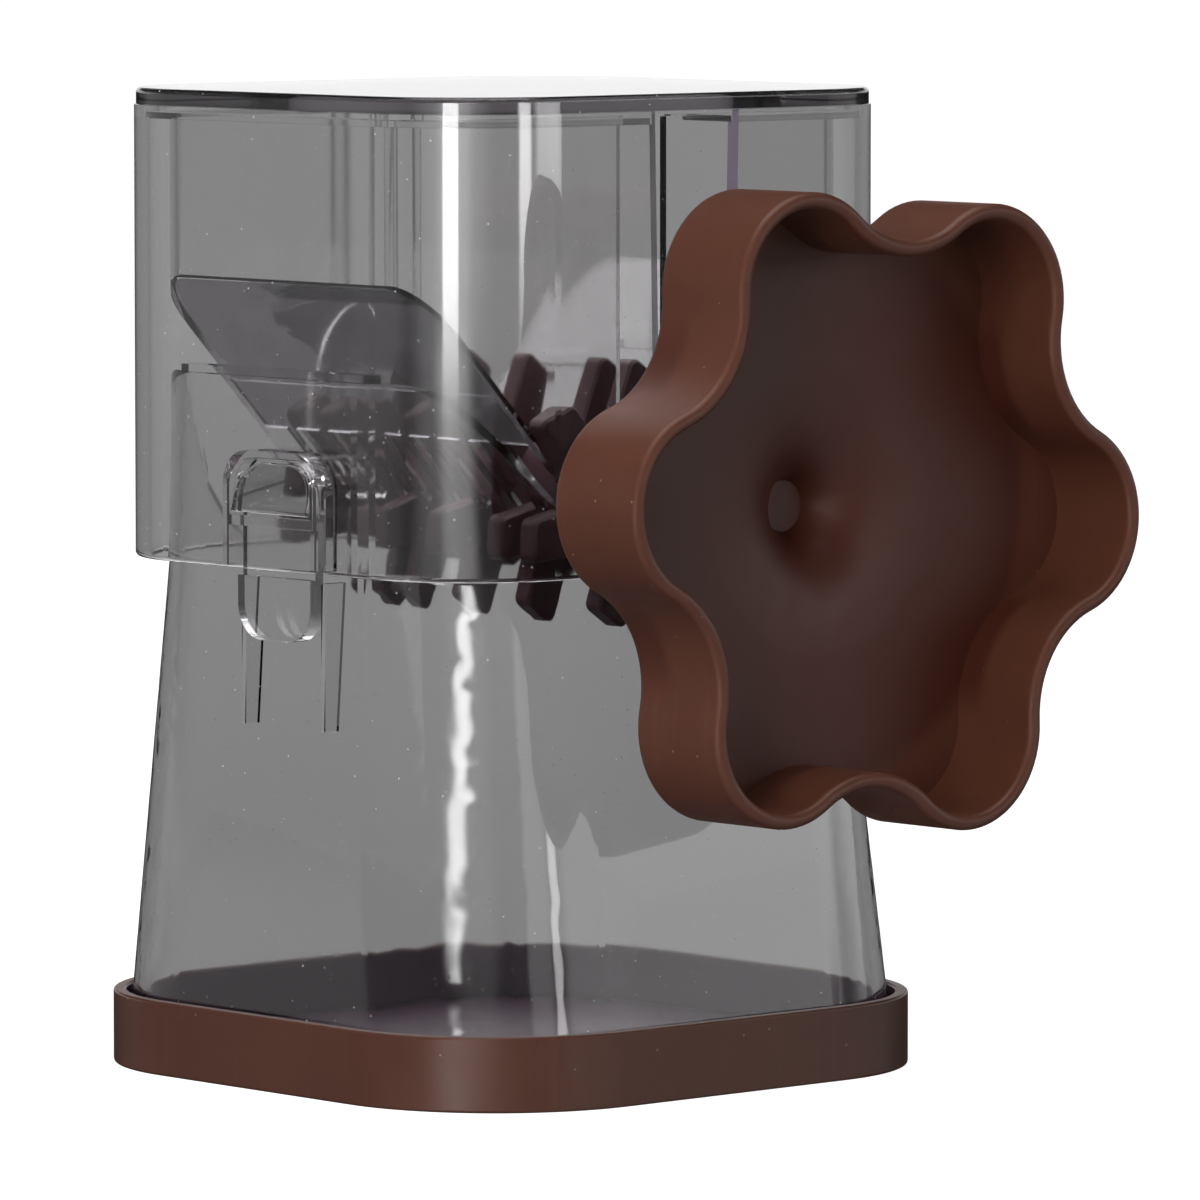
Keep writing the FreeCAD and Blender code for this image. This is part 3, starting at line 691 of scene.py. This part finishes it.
def wrapped_gap(tree, azimuth, centre):
    # Degrees between an azimuth and a centre, the short way round.
    half_turn = math.degrees(math.pi)
    node = add(tree, "ShaderNodeMath", operation="WRAP")
    feed(tree, node.inputs[0], maths(tree, "SUBTRACT", azimuth, centre))
    node.inputs[1].default_value = half_turn
    node.inputs[2].default_value = -half_turn
    return maths(tree, "ABSOLUTE", node.outputs["Value"])


def light_panel(tree, azimuth, elevation, panel):
    centre, lean, half, softness, light, fade_in, fade_out = panel
    if lean:
        centre = maths(tree, "ADD", maths(tree, "MULTIPLY", elevation, lean), centre)
    gap = wrapped_gap(tree, azimuth, centre)
    across = spread(tree, gap, half, half + softness, light, 0, "SMOOTHSTEP")
    above_foot = spread(tree, elevation, *fade_in, 0, 1, "SMOOTHSTEP")
    below_top = spread(tree, elevation, *fade_out, 1, 0, "SMOOTHSTEP")
    return product(tree, across, above_foot, below_top)


def studio_world():
    world = bpy.data.worlds.new("studio_air")
    world.use_nodes = True
    tree = world.node_tree
    air = tree.nodes["Background"]
    air.inputs["Color"].default_value = (1, 1, 1, 1)
    rays = add(tree, "ShaderNodeLightPath")
    azimuth, elevation = direction(tree, add(tree, "ShaderNodeTexCoord").outputs["Generated"])
    gap = wrapped_gap(tree, azimuth, far_azimuth)
    glossy = spread(tree, gap, *air_gap, *air_light, "SMOOTHSTEP")
    ceiling = spread(tree, elevation, *ceiling_foot, 0, ceiling_light, "SMOOTHSTEP")
    glossy = maths(tree, "ADD", glossy, ceiling)
    for panel in panels:
        glossy = maths(tree, "ADD", glossy, light_panel(tree, azimuth, elevation, panel))
    plain = spread(tree, rays.outputs["Is Camera Ray"], 0, 1, fill_light, background_light)
    chosen = add(tree, "ShaderNodeMix", data_type="FLOAT")
    feed(tree, chosen.inputs["Factor"], rays.outputs["Is Glossy Ray"])
    feed(tree, chosen.inputs["A"], plain)
    feed(tree, chosen.inputs["B"], glossy)
    tree.links.new(chosen.outputs["Result"], air.inputs["Strength"])
    bpy.context.scene.world = world


def studio_floor():
    finish, _, shader = new_material("pale_floor")
    shader.inputs["Base Color"].default_value = (floor_shade, floor_shade, floor_shade, 1)
    shader.inputs["Roughness"].default_value = floor_roughness
    shader.inputs["Specular IOR Level"].default_value = 0.0
    shader.inputs["Emission Color"].default_value = (1, 1, 1, 1)
    shader.inputs["Emission Strength"].default_value = floor_glow
    half = floor_half
    corners = [(-half, -half, 0), (half, -half, 0), (half, half, 0), (-half, half, 0)]
    floor = stage_mesh("floor", corners, [(0, 1, 2, 3)], finish)
    floor.visible_transmission = False
    floor.visible_glossy = False
    floor.visible_diffuse = False


def grey_surround():
    # Shows only through the clear plastic, as the grey ground does in the photograph.
    material = bpy.data.materials.new("surround_grey")
    material.use_nodes = True
    tree = material.node_tree
    tree.nodes.clear()
    light = add(tree, "ShaderNodeEmission")
    x, y, height = parts_of(tree, place(tree))
    shade = surround_foot
    for low, high, rise in ground_steps:
        shade = maths(tree, "ADD", spread(tree, height, low, high, 0, rise), shade)
    gap = wrapped_gap(tree, azimuth_of(tree, x, y), far_azimuth)
    sideways = spread(tree, gap, *surround_gap, 1, surround_side_share, "SMOOTHSTEP")
    shade = product(tree, shade, sideways)
    for low, high, rise in sky_steps:
        shade = maths(tree, "ADD", spread(tree, height, low, high, 0, rise), shade)
    tree.links.new(shade, light.inputs["Strength"])
    output = add(tree, "ShaderNodeOutputMaterial")
    tree.links.new(light.outputs["Emission"], output.inputs["Surface"])
    bpy.ops.mesh.primitive_ico_sphere_add(
        subdivisions=surround_subdivisions, radius=surround_radius
    )
    surround = bpy.context.object
    surround.name = "surround"
    surround.data.materials.append(material)
    surround.visible_camera = False
    surround.visible_diffuse = False
    surround.visible_glossy = False
    surround.visible_shadow = False


def back_from(azimuth, elevation):
    # Unit vector from the object towards a light or the camera; angles in degrees.
    a, e = math.radians(azimuth), math.radians(elevation)
    return Vector((math.sin(a) * math.cos(e), -math.cos(a) * math.cos(e), math.sin(e)))


def soft_light(name, azimuth, elevation, distance, width, height, watts, through_plastic):
    data = bpy.data.lights.new(name, "AREA")
    data.shape = "RECTANGLE"
    data.size = width
    data.size_y = height
    data.energy = watts
    lamp = bpy.data.objects.new(name, data)
    back = back_from(azimuth, elevation)
    lamp.location = Vector(light_target) + back * distance
    lamp.rotation_mode = "QUATERNION"
    lamp.rotation_quaternion = (-back).to_track_quat("-Z", "Y")
    lamp.visible_glossy = False
    lamp.visible_transmission = through_plastic
    bpy.context.scene.collection.objects.link(lamp)


def photo_camera():
    data = bpy.data.cameras.new("camera")
    data.lens = lens_mm
    data.sensor_width = sensor_mm
    data.clip_start = nearest_seen
    data.clip_end = farthest_seen
    camera = bpy.data.objects.new("camera", data)
    bpy.context.scene.collection.objects.link(camera)
    back = back_from(view_azimuth, view_elevation)
    turned = math.radians(view_azimuth)
    right = Vector((math.cos(turned), math.sin(turned), 0))
    up = back.cross(right)
    camera.location = view_centre + back * view_distance
    aim = view_centre + right * aim_right - up * aim_down
    camera.rotation_mode = "QUATERNION"
    camera.rotation_quaternion = (aim - camera.location).to_track_quat("-Z", "Y")
    bpy.context.scene.camera = camera


studio_world()
studio_floor()
grey_surround()
for lamp in soft_lights:
    soft_light(*lamp)
photo_camera()

scene = bpy.context.scene
scene.view_settings.view_transform = "Standard"
scene.cycles.max_bounces = light_bounces
scene.cycles.transmission_bounces = light_bounces
scene.cycles.glossy_bounces = glossy_bounces
